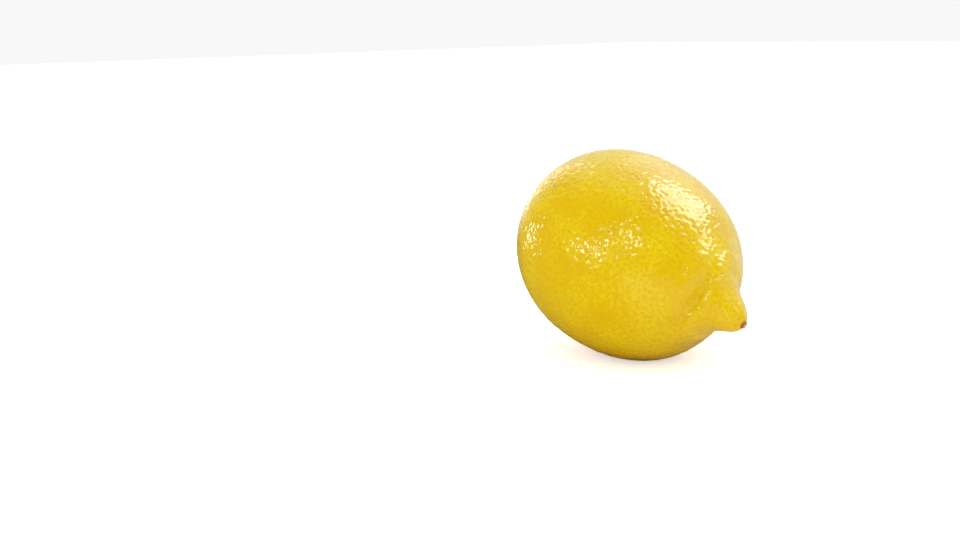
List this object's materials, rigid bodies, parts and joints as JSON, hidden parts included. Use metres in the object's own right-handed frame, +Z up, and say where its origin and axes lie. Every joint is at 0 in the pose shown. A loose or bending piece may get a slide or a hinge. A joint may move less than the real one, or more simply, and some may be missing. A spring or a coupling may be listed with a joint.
{
  "type": "lemon",
  "caption": "Whole ripe lemon lying on its side on a small flat spot, with a blunt nipple, a dried calyx and a cut stem stub.",
  "frame": {"origin": "middle of the small flat spot that the lemon rests on", "axes": "+Z up, +X along the lemon towards its nipple end, +Y across it"},
  "size_m": [0.0816, 0.0618, 0.0626],
  "materials": {
    "rind": "waxy semi-gloss citrus rind, pitted with oil glands",
    "dried_calyx": "dry grey-green leafy tissue, matte",
    "cut_stem": "dry cut woody stem, matte",
    "corky_scar": "corky brown ring, matte"
  },
  "bodies": {
    "root": {"fruit": "rind", "calyx": "dried_calyx", "stem_stub": "cut_stem", "style_scar": "corky_scar"}
  },
  "joints": []
}
